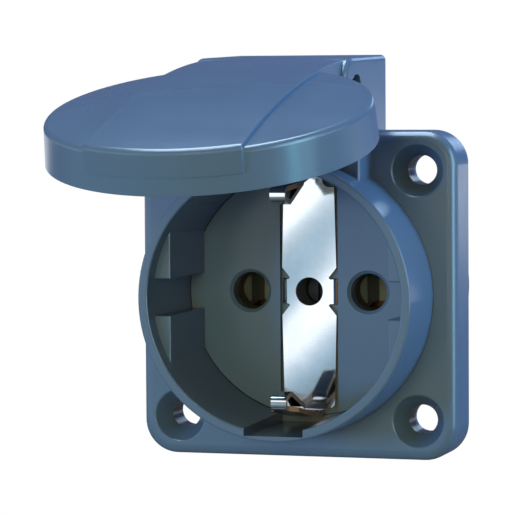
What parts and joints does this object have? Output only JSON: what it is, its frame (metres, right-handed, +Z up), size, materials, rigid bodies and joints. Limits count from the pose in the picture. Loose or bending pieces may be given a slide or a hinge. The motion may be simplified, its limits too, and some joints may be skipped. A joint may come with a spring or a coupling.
{
  "type": "flush-mount schuko power socket with hinged lid",
  "caption": "Square flange-mounted earthed mains socket with a round plug recess, side-clip earth bracket, rear screw terminals and a hinged round lid.",
  "frame": {"origin": "centre of the flange's back face, where the socket's axis meets the mounting panel", "axes": "+X to the right, +Y into the panel, +Z up towards the lid's hinge; the socket faces -Y"},
  "size_m": [0.05, 0.0928, 0.0615],
  "materials": {
    "blue_plastic": "semi-gloss moulded",
    "grey_plastic": "moulded",
    "black_rubber": "matt",
    "nickel": "bright nickel plate",
    "brass": "stamped",
    "steel": "zinc plate"
  },
  "bodies": {
    "socket": {"housing": "blue_plastic", "recess_floor": "blue_plastic", "flange_gasket": "black_rubber", "hinge_pin": "steel", "earth_bracket": "nickel", "contact_carrier": "grey_plastic", "terminal_cover": "grey_plastic", "contact_left": "brass", "contact_right": "brass", "contact_spring_left": "steel", "contact_spring_right": "steel", "terminal_body_left": "brass", "terminal_body_right": "brass", "earth_terminal": "brass", "clamp_plate_left": "steel", "clamp_plate_right": "steel", "clamp_plate_earth": "steel", "terminal_screw_left": "steel", "terminal_screw_right": "steel", "terminal_screw_earth": "steel", "centre_screw": "steel"},
    "lid": {"lid": "blue_plastic", "lid_seal": "black_rubber"}
  },
  "joints": [
    {"name": "lid_hinge", "type": "hinge", "parent": "socket", "child": "lid", "pos_m": [0, -0.0184, 0.0319], "axis": [1, 0, 0], "range_deg": [0, 75.6]}
  ]
}
